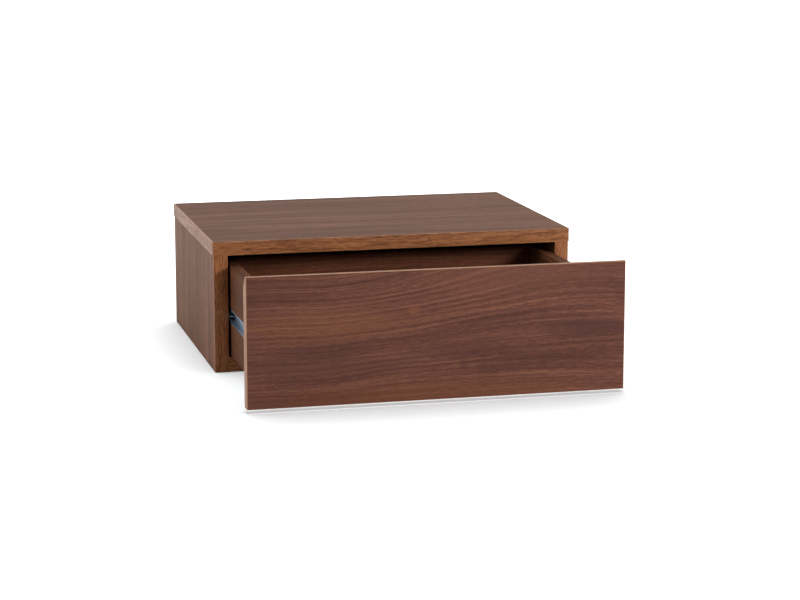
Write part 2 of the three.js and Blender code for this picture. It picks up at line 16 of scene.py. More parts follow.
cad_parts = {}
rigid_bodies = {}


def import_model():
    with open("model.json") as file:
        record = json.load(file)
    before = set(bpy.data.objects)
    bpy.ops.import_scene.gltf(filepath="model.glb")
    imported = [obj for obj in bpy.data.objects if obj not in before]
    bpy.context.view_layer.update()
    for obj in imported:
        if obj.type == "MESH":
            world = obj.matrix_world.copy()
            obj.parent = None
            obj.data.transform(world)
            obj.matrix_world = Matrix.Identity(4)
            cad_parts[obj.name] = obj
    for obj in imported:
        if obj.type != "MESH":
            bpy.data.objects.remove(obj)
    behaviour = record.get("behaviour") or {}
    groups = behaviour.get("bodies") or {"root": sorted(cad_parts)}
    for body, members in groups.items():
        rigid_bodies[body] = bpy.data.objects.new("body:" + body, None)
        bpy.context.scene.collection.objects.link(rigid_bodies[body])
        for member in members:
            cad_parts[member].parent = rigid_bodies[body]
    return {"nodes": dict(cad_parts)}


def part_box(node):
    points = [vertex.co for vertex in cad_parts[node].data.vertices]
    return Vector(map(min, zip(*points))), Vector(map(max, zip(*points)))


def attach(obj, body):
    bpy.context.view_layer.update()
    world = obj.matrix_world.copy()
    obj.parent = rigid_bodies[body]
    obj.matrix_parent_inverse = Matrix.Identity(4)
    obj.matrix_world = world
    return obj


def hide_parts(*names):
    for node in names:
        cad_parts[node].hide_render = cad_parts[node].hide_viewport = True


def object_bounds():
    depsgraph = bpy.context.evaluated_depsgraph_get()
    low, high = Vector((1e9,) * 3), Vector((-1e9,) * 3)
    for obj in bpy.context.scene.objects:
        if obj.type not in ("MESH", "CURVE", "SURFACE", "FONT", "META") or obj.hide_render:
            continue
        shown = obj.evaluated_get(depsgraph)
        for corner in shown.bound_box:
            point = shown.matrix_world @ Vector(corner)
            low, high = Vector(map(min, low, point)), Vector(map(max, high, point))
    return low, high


MM = 0.001
AXES = "XYZ"

# The camera that was worked out from the case's corners in the photograph.
CAMERA_PLACE = (-0.610956, -2.792280, 0.500596)
CAMERA_PITCH = -0.193
CAMERA_YAW = -0.243
CAMERA_LENS = 102.206
SENSOR_WIDTH = 36.0

# The lamps. A turn is the angle to the right of straight ahead and a rise the angle above level, in degrees.
# A strength is the light on a surface at the aim that faces the lamp: 1 shows a colour as it is written.
LAMP_AIM = (0.0, -0.25, 0.0)
Lamp = namedtuple("Lamp", "turn rise distance width height strength")
LAMPS = {
    "key": Lamp(turn=40, rise=19.5, distance=2.2, width=0.8, height=0.42, strength=0.79),
    "overhead": Lamp(turn=180, rise=68, distance=1.8, width=0.9, height=0.9, strength=0.25),
    "left_fill": Lamp(turn=-86, rise=14, distance=2.4, width=0.9, height=0.9, strength=0.48),
    "floor_wash": Lamp(turn=0, rise=90, distance=1.6, width=4.0, height=4.0, strength=4.2),
}
AMBIENT = 0.30

# Two lamps light all but the floor, and the wash lights the floor alone. It shines through the drawer's box,
# which would otherwise draw a hard dark line under the drawer front.
FLOOR_LINKS = {"key": "EXCLUDE", "left_fill": "EXCLUDE", "floor_wash": "INCLUDE"}
DRAWER_BOX = ("drawer_left_side", "drawer_right_side", "drawer_back", "drawer_bottom")

# The floor, and how white it is: seen by the camera, mirrored in a reflection, and for the light that it
# sends up at the object. It fades from shaded to plain white between two distances from the aim.
FLOOR_GAP = 0.0005
FLOOR_SIDE = 60.0
FLOOR_SEEN = 0.78
FLOOR_MIRRORED = 0.55
FLOOR_BOUNCE = 0.33
FLOOR_TINT = (0.975, 0.995, 1.01)
FLOOR_NEAR = 0.42
FLOOR_FAR = 1.1

# A painted glow in the floor stands for the light that reaches in under the open drawer front. It goes from
# none to full between two distances in from a side of the front's foot, in millimetres: from its low and its
# high side on X, then on Y.
FRONT_FOOT = "drawer_front_bottom_band"
SLIT_FADES = (((0.5, 4.5), (0.5, 4.5)), ((-1.36, 0.64), (-10.14, 5.86)))
SLIT_PAINTED_GLOW = 0.45

# Walnut decors, each from its dark lines to its light ones, the warm and cool patches in it, and how much of
# those patches a board shows.
FRONT_WALNUT = ((72, 39, 30), (98, 58, 46), (126, 81, 61))
CASE_WALNUT = ((70, 40, 24), (97, 58, 36), (124, 79, 53))
SIDE_WALNUT = ((68, 38, 20), (96, 57, 31), (124, 78, 46))
DRAWER_WALNUT = ((66, 37, 22), (82, 49, 30), (99, 62, 39))
DRAWER_BACK_WALNUT = ((70, 36, 22), (88, 49, 31), (107, 63, 42))
WALNUT_WARM = (122, 73, 44)
WALNUT_SHADE = (70, 39, 35)
FRONT_HUE = 1.0
CASE_HUE = 0.5
FOIL_HUE = 0.5

# Where a palette's three colours lie on its tone, and about how far plain noise reaches.
PALETTE_STOPS = (0.1, 0.5, 0.9)
NOISE_RANGE = (0.3, 0.7)

# A decor is printed in layers of noise. A layer's spots are about length by width millimetres, its seed is
# added to the board's own, and its weight is how far it moves what it acts on.
Layer = namedtuple("Layer", "length width seed detail weight", defaults=(1.0,))
WALNUT_TONE = 0.45
WALNUT_LAYERS = (
    Layer(length=360, width=15, seed=0, detail=2, weight=0.9),
    Layer(length=190, width=2.6, seed=2, detail=3, weight=1.1),
    Layer(length=11, width=0.9, seed=4, detail=3, weight=1.1),
    Layer(length=2.4, width=1.6, seed=5, detail=3, weight=0.5),
)
SWAY_LAYERS = (
    Layer(length=210, width=80, seed=0, detail=1, weight=14.0),
    Layer(length=60, width=30, seed=1, detail=1, weight=1.2),
)
LINE_PITCH = 5.6
LINE_WEIGHT = 0.24
LINE_CREST = (0.1, 1.0)
LINE_DRIFT = Layer(length=260, width=30, seed=6, detail=2, weight=7.0)
LINE_PLACES = Layer(length=130, width=22, seed=8, detail=2)
LINE_PLACES_EDGE = (-0.05, 0.16)
LINE_SHARES = (0.15, 0.8)
TINT = Layer(length=160, width=18, seed=10, detail=2)
TINT_REACH = 0.22
WARM_SHARE = 0.14
SHADE_SHARE = 0.18
PORES = Layer(length=3.5, width=0.45, seed=12, detail=1, weight=0.6)
PORE_EDGE = (0.1, 0.18)

# The drawer front's lines climb to the right between two places along it, the more so the higher they are.
FIGURE_RUN = (-140.0, 130.0)
FIGURE_RISE = 21.0
FIGURE_HEIGHTS = (-75.0, 75.0)
FIGURE_SHARES = (0.05, 1.55)

# Soft ovals on the drawer front, in millimetres: where it is tinted, and where its growth lines show most.
Oval = namedtuple("Oval", "centre half")
FRONT_TINTS = (
    (Oval((-127.0, 16.0), (120.0, 20.0)), WALNUT_WARM, 0.25),
    (Oval((-28.0, 28.0), (10.0, 7.0)), WALNUT_WARM, 0.5),
    (Oval((-127.0, -11.5), (80.0, 9.0)), WALNUT_SHADE, 0.4),
    (Oval((10.0, -18.0), (80.0, 9.0)), WALNUT_SHADE, 0.35),
    (Oval((165.0, -1.0), (75.0, 13.0)), WALNUT_SHADE, 0.6),
    (Oval((-140.0, -27.0), (150.0, 15.0)), WALNUT_SHADE, 0.5),
    (Oval((-158.0, -41.5), (70.0, 3.0)), WALNUT_SHADE, 0.5),
    (Oval((106.0, -31.0), (110.0, 3.0)), WALNUT_SHADE, 0.45),
    (Oval((-20.0, -66.0), (230.0, 20.0)), WALNUT_WARM, 0.35),
    (Oval((80.0, 56.0), (120.0, 28.0)), FRONT_WALNUT[2], 0.25),
)
FRONT_LINED = (
    Oval((-125.0, 18.0), (110.0, 20.0)),
    Oval((40.0, 38.0), (80.0, 26.0)),
    Oval((150.0, 30.0), (90.0, 22.0)),
)

# Edge banding: the palette of its print, the pitch of its dashes, and the colour and depth of its paler
# arris, in millimetres. That paler arris is partly the lighter core that trimming lays bare and partly
# a painted highlight where the rounded edge catches the light; on the end bands it is wider and mostly
# painted highlight. The sloped grip band is print all over.
Banding = namedtuple("Banding", "palette pitch arris depth")
CASE_BANDING = Banding(((98, 56, 28), (138, 84, 49), (163, 107, 68)), 1.8, (196, 152, 118), 0.3)
END_BANDING = Banding(((116, 85, 70), (144, 109, 91), (166, 131, 111)), 2.4, (208, 180, 162), 0.7)
FRONT_BANDING = Banding(((140, 100, 78), (161, 121, 98), (174, 138, 114)), 2.4, (196, 152, 118), 0.3)
GRIP_BANDING = FRONT_BANDING._replace(arris=None)
BAND_STOPS = (0.34, 0.5, 0.68)
BAND_TONE = 0.5
BAND_WAVE = Layer(length=60, width=12, seed=6, detail=2)
BAND_PRINT = (0.03, 0.1)
BAND_PALE_AND_HIGHLIGHT_SHARE = 0.8
BAND_CORE = (112, 70, 50)

# What shows where a board isn't faced. Scales are per millimetre.
CHIPBOARD = ((186, 134, 94), (217, 168, 125), (238, 202, 162))
CHIP_FLATNESS = 2.4
COARSE_CHIPS = 0.4
FINE_CHIPS = 1.2
CHIP_DUST = (146, 98, 66)
DUST_SCALE = 1.6
DUST_EDGE = (0.32, 0.48)
DUST_SHARE = 0.35
FIBREBOARD = ((128, 92, 58), (160, 122, 82))
FIBREBOARD_SCALE = 3.0
HARDBOARD = ((88, 60, 38), (118, 84, 54))
HARDBOARD_SCALE = 1.4

# The slides, the screws and the dowels.
ZINC_STEEL = (162, 182, 198)
CAGE_STEEL = (176, 182, 186)
SCREW_STEEL = (176, 180, 182)
BLOTCH_SHADE = 0.88
BLOTCH_SCALE = 0.2
ROLL_LINES = (40.0, 0.25)
BLACK_PLASTIC = ((8, 8, 9), (16, 16, 18))
SPARK_SCALE = 4.0
BEECH = ((176, 134, 92), (209, 172, 128))
FLECK_SCALE = 0.5
FLECK_SLIMNESS = 3.0

# Surfaces. Heights and depths are in millimetres. A pair of roughnesses belongs to the two ends of a range.
DECOR_SKIN = 0.35
DECOR_SPECULAR = 0.18
DECOR_RANGE = (0.2, 0.8)
DECOR_ROUGHNESS = (0.64, 0.56)
DECOR_PORE_DEPTH = 0.03
CORE_ROUGHER = 0.3
CHIP_HEIGHT = 0.10
DASH_RANGE = (-0.2, 0.2)
BAND_ROUGHNESS = (0.6, 0.52)
BAND_FIBRE_HEIGHT = 0.02
FOIL_SPECULAR = 0.1
FOIL_ROUGHNESS = 0.68
FOIL_PORE_DEPTH = 0.02
FELT_HEIGHT = 0.08
FIBREBOARD_ROUGHNESS = 0.85
HARDBOARD_ROUGHNESS = 0.8
STEEL_ROUGHNESS = (0.36, 0.44)
ROLL_ROUGHER = 0.08
ROLL_HEIGHT = 0.01
PLASTIC_ROUGHNESS = (0.5, 0.62)
PLASTIC_SPECULAR = 0.12
SPARK_HEIGHT = 0.02
BEECH_ROUGHNESS = 0.7
BEECH_SPECULAR = 0.3
FLECK_HEIGHT = 0.05

# The first seed of a group of boards, and the step from one of its boards to the next.
SEEDS = {"case": (1.3, 3.7), "bands": (0.4, 2.9), "drawer": (0.9, 5.3)}
FRONT_SEED = 41.0
BOTTOM_SEED = 17.0

# Rounded and smoothed edges. Angles are in degrees, the weld's distance in metres, the arris in millimetres.
WELD_DISTANCE = 1e-6
SMOOTH_BELOW = 40
FLAT_BELOW = 0.5
SQUARE_ABOVE = 60
DRAWER_ARRIS = 0.6
ARRIS_STEPS = 3

# Screws, in millimetres. A head is given as (radius, height) from its top down, a level of the cross recess
# as (depth, reach, half width). The flank says how steeply the thread falls over a turn.
SCREW_SIDES = 24
SCREW_RADIUS = 1.75
SCREW_POINT = 2.0
BLUNT_POINT = 0.06
THREAD_ROOT = 1.2
THREAD_PITCH = 1.25
THREAD_STEPS = 8
THREAD_FLANK = 3.2
PAN_HEAD = ((2.3, 1.6), (2.7, 1.5), (2.95, 1.2), (3.0, 0.9), (3.0, 0.06), (2.95, 0.0), (1.6, 0.0))
FLAT_HEAD = ((2.85, 0.0), (2.97, -0.06), (2.9, -0.2), (1.75, -1.6))
CROSS_LEVELS = ((0.0, 1.75, 0.46), (0.15, 1.65, 0.4), (1.1, 0.8, 0.32))
CROSS_DEPTH = 1.5
CROSS_CORNERS = 12
SCREW_TURN = 0.8

# The end of a rail's tongue in its stop, in millimetres.
TONGUE_INSET = 1.4
TONGUE_DEPTH = 1.5
TONGUE_SEAT = 0.65
TONGUE_SHEET = 0.6
TONGUE_ROUND = 0.12


def linear(colour):
    """An 8-bit sRGB colour as Blender's linear RGBA."""
    shares = [c / 255 for c in colour]
    return tuple(s / 12.92 if s <= 0.04045 else ((s + 0.055) / 1.055) ** 2.4 for s in shares) + (1.0,)


class Graph:
    """One material's node tree. Every method takes sockets or plain values and returns a socket."""

    def __init__(self, name):
        self.material = bpy.data.materials.new(name)
        self.material.use_nodes = True
        self.tree = self.material.node_tree
        self.tree.nodes.clear()

    def node(self, kind, inputs=None, **settings):
        made = self.tree.nodes.new(kind)
        for key, value in settings.items():
            setattr(made, key, value)
        for socket, value in (inputs or {}).items():
            self.feed(made.inputs[socket], value)
        return made

    def feed(self, socket, value):
        if isinstance(value, bpy.types.NodeSocket):
            self.tree.links.new(value, socket)
        else:
            socket.default_value = value

    def math(self, operation, a, b=0.0, c=0.0):
        return self.node("ShaderNodeMath", {0: a, 1: b, 2: c}, operation=operation).outputs[0]

    def add(self, a, b):
        return self.math("ADD", a, b)

    def subtract(self, a, b):
        return self.math("SUBTRACT", a, b)

    def times(self, a, b):
        return self.math("MULTIPLY", a, b)

    def largest(self, values):
        return functools.reduce(functools.partial(self.math, "MAXIMUM"), values)

    def place(self):
        """The rest-pose place in millimetres, as {"X": socket, "Y": socket, "Z": socket}."""
        point = self.node("ShaderNodeTexCoord").outputs["Object"]
        scaled = self.node("ShaderNodeVectorMath", {0: point, "Scale": 1 / MM}, operation="SCALE")
        split = self.node("ShaderNodeSeparateXYZ", {0: scaled.outputs[0]})
        return dict(zip(AXES, split.outputs))

    def vector(self, x, y, z):
        return self.node("ShaderNodeCombineXYZ", {0: x, 1: y, 2: z}).outputs[0]

    def noise(self, vector, scale=1.0, detail=2.0):
        inputs = {"Vector": vector, "Scale": scale, "Detail": detail}
        return self.node("ShaderNodeTexNoise", inputs).outputs["Fac"]

    def span(self, value, low, high, to_low=0.0, to_high=1.0, kind="SMOOTHSTEP"):
        """Maps value from low..high to to_low..to_high, held at both ends."""
        inputs = {"Value": value, "From Min": low, "From Max": high, "To Min": to_low, "To Max": to_high}
        return self.node("ShaderNodeMapRange", inputs, interpolation_type=kind).outputs["Result"]

    def ramp(self, factor, stops, palette):
        """A colour from factor, through the palette's colours at the stops."""
        made = self.node("ShaderNodeValToRGB", {"Fac": factor})
        elements = made.color_ramp.elements
        while len(elements) < len(stops):
            elements.new(0.5)
        for element, stop, colour in zip(elements, stops, palette):
            element.position = stop
            element.color = linear(colour)
        return made.outputs["Color"]

    def mix(self, factor, a, b):
        """a where the factor is 0, b where it is 1."""
        made = self.node("ShaderNodeMix", data_type="RGBA")
        for socket, value in zip((0, 6, 7), (factor, a, b)):
            self.feed(made.inputs[socket], value)
        return made.outputs[2]

    def surface(self, colour, roughness, height, metallic=0.0, specular=0.5):
        """The finished material. Its height is in millimetres."""
        bump = self.node("ShaderNodeBump", {"Height": height, "Distance": MM, "Strength": 1.0})
        look = {
            "Base Color": colour,
            "Roughness": roughness,
            "Metallic": metallic,
            "Specular IOR Level": specular,
            "Normal": bump.outputs["Normal"],
        }
        shader = self.node("ShaderNodeBsdfPrincipled", look)
        self.node("ShaderNodeOutputMaterial", {"Surface": shader.outputs[0]})
        return self.material


def extents(node):
    """The node's (low, high) in millimetres on each axis."""
    low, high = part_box(node)
    return {axis: (low[i] / MM, high[i] / MM) for i, axis in enumerate(AXES)}


def board_axes(node, grain=None):
    """The axes (along the grain, across it, through the board) of a flat node, from its own sizes."""
    sizes = {axis: high - low for axis, (low, high) in extents(node).items()}
    through = min(sizes, key=sizes.get)
    flat = sorted((axis for axis in AXES if axis != through), key=sizes.get, reverse=True)
    along = grain or flat[0]
    across = next(axis for axis in flat if axis != along)
    return along, across, through


def near_face(graph, place, node, axis, skin):
    """1 within skin millimetres of the node's two outer faces on that axis, 0 between them."""
    low, high = extents(node)[axis]
    middle, half = (low + high) / 2, (high - low) / 2
    off = graph.math("ABSOLUTE", graph.subtract(place[axis], middle))
    return graph.math("GREATER_THAN", off, half - skin)


def grain_noise(graph, along, across, layer, seed):
    """The noise of one layer, drawn out along the grain, around 0."""
    x, y = graph.times(along, 1 / layer.length), graph.times(across, 1 / layer.width)
    return graph.subtract(graph.noise(graph.vector(x, y, seed + layer.seed), detail=layer.detail), 0.5)


def layered(graph, along, across, layers, seed, tone=0.0):
    """The tone with every layer added at its weight, and the layers' noises."""
    noises = [grain_noise(graph, along, across, layer, seed) for layer in layers]
    for layer, noise in zip(layers, noises):
        tone = graph.add(tone, graph.times(noise, layer.weight))
    return tone, noises


def swayed(graph, along, across, seed):
    """The place across the board, with the slow wander of the grain's lines added."""
    return graph.add(across, layered(graph, along, across, SWAY_LAYERS, seed)[0])


def front_figure(graph, along, across):
    """How far the drawer front's lines have climbed, in millimetres."""
    rise = graph.span(along, *FIGURE_RUN, 0.0, FIGURE_RISE)
    share = graph.span(across, *FIGURE_HEIGHTS, *FIGURE_SHARES, kind="LINEAR")
    return graph.times(rise, share)


def patch(graph, along, across, oval):
    """1 at the oval's centre, 0 from its rim on."""
    x = graph.times(graph.subtract(along, oval.centre[0]), 1 / oval.half[0])
    y = graph.times(graph.subtract(across, oval.centre[1]), 1 / oval.half[1])
    square = graph.add(graph.times(x, x), graph.times(y, y))
    return graph.span(square, 0.0, 1.0, 1.0, 0.0)


def walnut_colour(graph, along, across, palette, seed, hue, lined=None):
    """The printed walnut decor: streaks, growth lines, short fibres and pores. hue is how much its warm and
    cool patches show, and lined is 1 where its growth lines show most."""
    tone, _ = layered(graph, along, across, WALNUT_LAYERS, seed, WALNUT_TONE)
    drift = grain_noise(graph, along, across, LINE_DRIFT, seed)
    phase = graph.add(graph.times(across, 2 * math.pi / LINE_PITCH), graph.times(drift, LINE_DRIFT.weight))
    crest = graph.span(graph.math("SINE", phase), *LINE_CREST)
    places = grain_noise(graph, along, across, LINE_PLACES, seed)
    shown = graph.span(places, *LINE_PLACES_EDGE, *LINE_SHARES)
    if lined is not None:
        shown = graph.largest((shown, lined))
    tone = graph.add(tone, graph.times(graph.times(crest, shown), LINE_WEIGHT))
    colour = graph.ramp(tone, PALETTE_STOPS, palette)

    tint = grain_noise(graph, along, across, TINT, seed)
    warm = graph.span(tint, 0.0, TINT_REACH, 0.0, WARM_SHARE * hue)
    shade = graph.span(tint, -TINT_REACH, 0.0, SHADE_SHARE * hue, 0.0)
    colour = graph.mix(warm, colour, linear(WALNUT_WARM))
    colour = graph.mix(shade, colour, linear(WALNUT_SHADE))
    pores = graph.span(grain_noise(graph, along, across, PORES, seed), *PORE_EDGE)
    colour = graph.mix(graph.times(pores, PORES.weight), colour, linear(palette[0]))
    return colour, tone, pores


def chips(graph, point, scale):
    """A random value for each chip of a pile of them."""
    cells = graph.node("ShaderNodeTexVoronoi", {"Vector": point, "Scale": scale, "Randomness": 1.0})
    return graph.node("ShaderNodeSeparateColor", {0: cells.outputs["Color"]}).outputs[0]


def chipboard_colour(graph, place, through):
    """Flat pressed chips, coarse and fine, seen on a board's bare edges and in its bores."""
    flat = {axis: CHIP_FLATNESS if axis == through else 1.0 for axis in AXES}
    point = graph.vector(*(graph.times(place[axis], flat[axis]) for axis in AXES))
    coarse, fine = chips(graph, point, COARSE_CHIPS), chips(graph, point, FINE_CHIPS)
    tone = graph.add(graph.times(coarse, 0.5), graph.times(fine, 0.5))
    dust = graph.noise(point, scale=DUST_SCALE, detail=4)
    colour = graph.ramp(tone, PALETTE_STOPS, CHIPBOARD)
    colour = graph.mix(graph.span(dust, *DUST_EDGE, DUST_SHARE, 0.0), colour, linear(CHIP_DUST))
    return colour, graph.add(tone, dust)


def board_material(node, palette, seed, hue, grain=None, figure=None, tints=(), lined=()):
    """A faced board: decor on both faces, bare chipboard between them."""
    graph = Graph(node + "_board")
    place = graph.place()
    along_axis, across_axis, through_axis = board_axes(node, grain)
    along, across = place[along_axis], place[across_axis]
    line = swayed(graph, along, across, seed)
    if figure:
        line = graph.subtract(line, figure(graph, along, across))
    strong = graph.largest([patch(graph, along, across, oval) for oval in lined]) if lined else None
    decor, tone, pores = walnut_colour(graph, along, line, palette, seed, hue, strong)
    for oval, colour, share in tints:
        spot = graph.times(patch(graph, along, across, oval), share)
        decor = graph.mix(spot, decor, linear(colour))
    core, chip_height = chipboard_colour(graph, place, through_axis)
    skin = near_face(graph, place, node, through_axis, DECOR_SKIN)
    bare = graph.subtract(1.0, skin)
    faced = graph.span(tone, *DECOR_RANGE, *DECOR_ROUGHNESS)
    roughness = graph.add(faced, graph.times(bare, CORE_ROUGHER))
    height = graph.mix(skin, graph.times(chip_height, CHIP_HEIGHT), graph.times(pores, -DECOR_PORE_DEPTH))
    return graph.surface(graph.mix(skin, core, decor), roughness, height, specular=DECOR_SPECULAR)


def foiled(graph, wrapped, foil, pores, bare, felt, bare_roughness):
    """Foil where wrapped is 1, bare pressed fibre with its felted height where it is 0."""
    colour = graph.mix(wrapped, bare, foil)
    roughness = graph.span(wrapped, 0, 1, bare_roughness, FOIL_ROUGHNESS)
    height = graph.mix(wrapped, graph.times(felt, FELT_HEIGHT), graph.times(pores, -FOIL_PORE_DEPTH))
    return graph.surface(colour, roughness, height, specular=FOIL_SPECULAR)


def foil_material(node, palette, seed):
    """A drawer board in walnut foil on its long faces, with bare fibreboard in its ends and grooves."""
    graph = Graph(node + "_foil")
    place = graph.place()
    along_axis, across_axis, through_axis = board_axes(node)
    along, across = place[along_axis], graph.add(place[across_axis], place[through_axis])
    line = swayed(graph, along, across, seed)
    foil, _, pores = walnut_colour(graph, along, line, palette, seed, FOIL_HUE)
    speck = graph.noise(graph.vector(*place.values()), scale=FIBREBOARD_SCALE, detail=4)
    bare = graph.ramp(speck, NOISE_RANGE, FIBREBOARD)
    wrapped = graph.largest(
        [near_face(graph, place, node, axis, DECOR_SKIN) for axis in (through_axis, across_axis)]
    )
    return foiled(graph, wrapped, foil, pores, bare, speck, FIBREBOARD_ROUGHNESS)


def hardboard_material(node, seed):
    """The drawer bottom: foil above, bare hardboard below and at its edges."""
    graph = Graph(node + "_hardboard")
    place = graph.place()
    line = swayed(graph, place["X"], place["Y"], seed)
    foil, _, pores = walnut_colour(graph, place["X"], line, DRAWER_WALNUT, seed, FOIL_HUE)
    felt = graph.noise(graph.vector(*place.values()), scale=HARDBOARD_SCALE, detail=5)
    bare = graph.ramp(felt, NOISE_RANGE, HARDBOARD)
    above = graph.math("GREATER_THAN", place["Z"], extents(node)["Z"][1] - DECOR_SKIN)
    return foiled(graph, above, foil, pores, bare, felt, HARDBOARD_ROUGHNESS)


def band_layers(pitch):
    """The ground, the dashes and the fibres of a banding's print."""
    ground = Layer(length=70, width=2.2 * pitch, seed=0, detail=3, weight=0.5)
    dashes = Layer(length=11, width=0.4 * pitch, seed=2, detail=3, weight=0.9)
    fibres = Layer(length=4, width=0.4, seed=4, detail=1, weight=0.4)
    return ground, dashes, fibres


def band_material(node, banding, seed):
    """Edge banding: short dark dashes along the strip, on a printed ground. Its trimmed arris is paler,
    partly its lighter core and partly a painted highlight, and its inner part brown."""
    graph = Graph(node + "_banding")
    place = graph.place()
    along_axis, across_axis, through_axis = board_axes(node)
    along, across = place[along_axis], place[across_axis]
    across = graph.add(across, grain_noise(graph, along, across, BAND_WAVE, seed))
    tone, (_, dash, fibre) = layered(graph, along, across, band_layers(banding.pitch), seed, BAND_TONE)
    colour = graph.ramp(tone, BAND_STOPS, banding.palette)
    if banding.arris:
        outer = max(extents(node)[through_axis], key=abs)
        depth = graph.math("ABSOLUTE", graph.subtract(place[through_axis], outer))
        # Paler towards the arris: partly the trimmed core, partly a painted highlight on the rounded edge.
        pale_and_highlight = graph.span(depth, *BAND_PRINT, 0.0, BAND_PALE_AND_HIGHLIGHT_SHARE)
        colour = graph.mix(pale_and_highlight, colour, linear(banding.arris))
        colour = graph.mix(graph.math("GREATER_THAN", depth, banding.depth), colour, linear(BAND_CORE))
    roughness = graph.span(dash, *DASH_RANGE, *BAND_ROUGHNESS)
    height = graph.times(fibre, BAND_FIBRE_HEIGHT)
    return graph.surface(colour, roughness, height, specular=DECOR_SPECULAR)


def steel_material(name, colour):
    """Rolled steel with a thin zinc coat: fine lines along the roll, soft blotches across it."""
    graph = Graph(name)
    place = graph.place()
    length, width = ROLL_LINES
    y, z = graph.times(place["Y"], 1 / length), graph.times(place["Z"], 1 / width)
    rolled = graph.noise(graph.vector(y, z, place["X"]))
    blotch = graph.noise(graph.vector(*place.values()), scale=BLOTCH_SCALE, detail=4)
    dark = tuple(BLOTCH_SHADE * c for c in colour)
    tint = graph.mix(graph.span(blotch, *NOISE_RANGE), linear(dark), linear(colour))
    rough = graph.span(blotch, *NOISE_RANGE, *STEEL_ROUGHNESS)
    roughness = graph.add(rough, graph.times(rolled, ROLL_ROUGHER))
    return graph.surface(tint, roughness, graph.times(rolled, ROLL_HEIGHT), metallic=1.0)


def plastic_material():
    """Black moulded plastic with a fine spark-eroded grain."""
    graph = Graph("black_plastic")
    spark = graph.noise(graph.vector(*graph.place().values()), scale=SPARK_SCALE)
    colour = graph.ramp(spark, NOISE_RANGE, BLACK_PLASTIC)
    roughness = graph.span(spark, *NOISE_RANGE, *PLASTIC_ROUGHNESS)
    return graph.surface(colour, roughness, graph.times(spark, SPARK_HEIGHT), specular=PLASTIC_SPECULAR)


def beech_material():
    """Bare beech with fine flecks, drawn out along X."""
    graph = Graph("beech")
    place = graph.place()
    y, z = (graph.times(place[axis], FLECK_SLIMNESS) for axis in "YZ")
    fleck = graph.noise(graph.vector(place["X"], y, z), scale=FLECK_SCALE, detail=3)
    colour = graph.ramp(fleck, NOISE_RANGE, BEECH)
    height = graph.times(fleck, FLECK_HEIGHT)
    return graph.surface(colour, BEECH_ROUGHNESS, height, specular=BEECH_SPECULAR)


def smooth_group():
    """A geometry node group that welds split faces and shades smooth across edges under a limit angle."""
    tree = bpy.data.node_groups.new("smooth_by_angle", "GeometryNodeTree")
    for way in ("INPUT", "OUTPUT"):
        tree.interface.new_socket("Geometry", in_out=way, socket_type="NodeSocketGeometry")
    nodes, links = tree.nodes, tree.links
    start, end = nodes.new("NodeGroupInput"), nodes.new("NodeGroupOutput")
    weld = nodes.new("GeometryNodeMergeByDistance")
    weld.inputs["Distance"].default_value = WELD_DISTANCE
    plain = nodes.new("GeometryNodeSetMeshNormal")
    faces = nodes.new("GeometryNodeSetShadeSmooth")
    edges = nodes.new("GeometryNodeSetShadeSmooth")
    edges.domain = "EDGE"
    angle = nodes.new("GeometryNodeInputMeshEdgeAngle")
    flat = nodes.new("FunctionNodeCompare")
    flat.operation = "LESS_THAN"
    flat.inputs["B"].default_value = math.radians(SMOOTH_BELOW)
    links.new(start.outputs[0], weld.inputs["Geometry"])
    links.new(weld.outputs[0], plain.inputs["Mesh"])
    links.new(plain.outputs[0], faces.inputs["Geometry"])
    links.new(faces.outputs[0], edges.inputs["Geometry"])
    links.new(angle.outputs["Unsigned Angle"], flat.inputs["A"])
    links.new(flat.outputs[0], edges.inputs["Shade Smooth"])
    links.new(edges.outputs[0], end.inputs[0])
    return tree


def paint(obj, material):
    obj.data.materials.clear()
    obj.data.materials.append(material)


def soften(obj, group):
    obj.modifiers.new("smooth", "NODES").node_group = group


def round_edges(obj, width, group):
    """Rounds every square edge of a CAD board. Its triangles are welded and joined to flat faces first."""
    weld = obj.modifiers.new("weld", "WELD")
    weld.merge_threshold = WELD_DISTANCE
    flat = obj.modifiers.new("flat", "DECIMATE")
    flat.decimate_type = "DISSOLVE"
    flat.angle_limit = math.radians(FLAT_BELOW)
    bevel = obj.modifiers.new("arris", "BEVEL")
    bevel.width = width * MM
    bevel.segments = ARRIS_STEPS
    bevel.limit_method = "ANGLE"
    bevel.angle_limit = math.radians(SQUARE_ABOVE)
    soften(obj, group)


def seed_of(kind, index):
    first, step = SEEDS[kind]
    return step * index + first


def dress_case(nodes):
    boards = ("top_panel", "bottom_panel", "back_panel", "left_side_panel", "right_side_panel")
    for index, name in enumerate(boards):
        palette, grain = (SIDE_WALNUT, "Z") if name.endswith("_side_panel") else (CASE_WALNUT, None)
        paint(nodes[name], board_material(name, palette, seed_of("case", index), CASE_HUE, grain))


def banding_of(name):
    if name == "drawer_front_grip_band":
        return GRIP_BANDING
    if name.startswith("drawer_front"):
        return FRONT_BANDING
    return END_BANDING if name in ("top_left_band", "top_right_band") else CASE_BANDING


def dress_bands(nodes, group):
    bands = sorted(node for node in nodes if node.endswith("_band"))
    for index, name in enumerate(bands):
        paint(nodes[name], band_material(name, banding_of(name), seed_of("bands", index)))
        soften(nodes[name], group)


def dress_drawer(nodes, group):
    name = "drawer_front"
    look = {"figure": front_figure, "tints": FRONT_TINTS, "lined": FRONT_LINED}
    paint(nodes[name], board_material(name, FRONT_WALNUT, FRONT_SEED, FRONT_HUE, **look))
    for index, name in enumerate(("drawer_left_side", "drawer_right_side", "drawer_back")):
        palette = DRAWER_BACK_WALNUT if name == "drawer_back" else DRAWER_WALNUT
        paint(nodes[name], foil_material(name, palette, seed_of("drawer", index)))
        round_edges(nodes[name], DRAWER_ARRIS, group)
    paint(nodes["drawer_bottom"], hardboard_material("drawer_bottom", BOTTOM_SEED))


